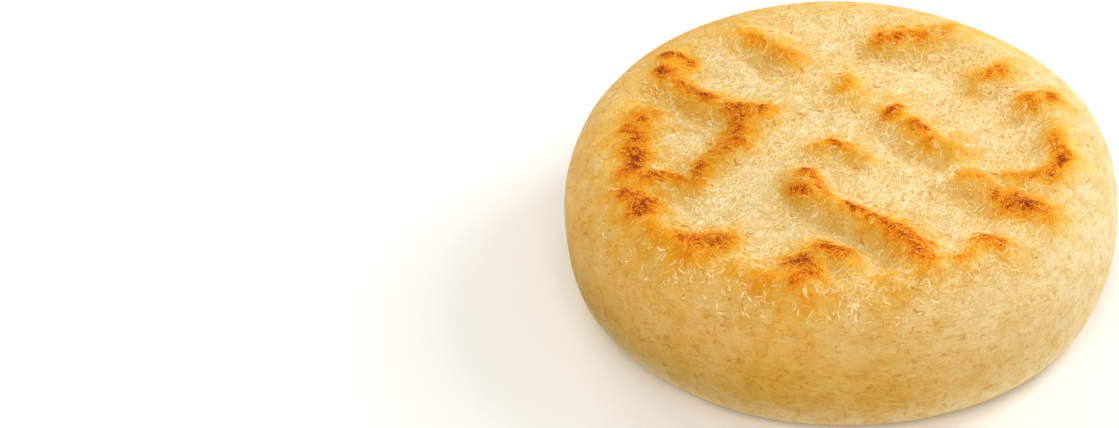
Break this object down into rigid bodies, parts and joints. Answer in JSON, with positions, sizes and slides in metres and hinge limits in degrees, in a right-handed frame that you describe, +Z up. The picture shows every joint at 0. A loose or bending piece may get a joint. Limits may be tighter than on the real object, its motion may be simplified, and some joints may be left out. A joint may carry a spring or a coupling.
{
  "type": "griddled arepa corn cake",
  "caption": "Thick round griddled corn cake with a rounded side, a shallow dished top and browned raised welts on it.",
  "frame": {"origin": "centre of the flat underside, on the surface that the cake rests on", "axes": "+Z up through the cake's thickness; -Y towards the side that the main view looks at; +X to that view's right"},
  "size_m": [0.0953, 0.0974, 0.0281],
  "materials": {
    "crust": "matt cooked corn dough, pale cream to straw yellow, browned on its welts"
  },
  "bodies": {
    "root": {"arepa": "crust"}
  },
  "joints": []
}
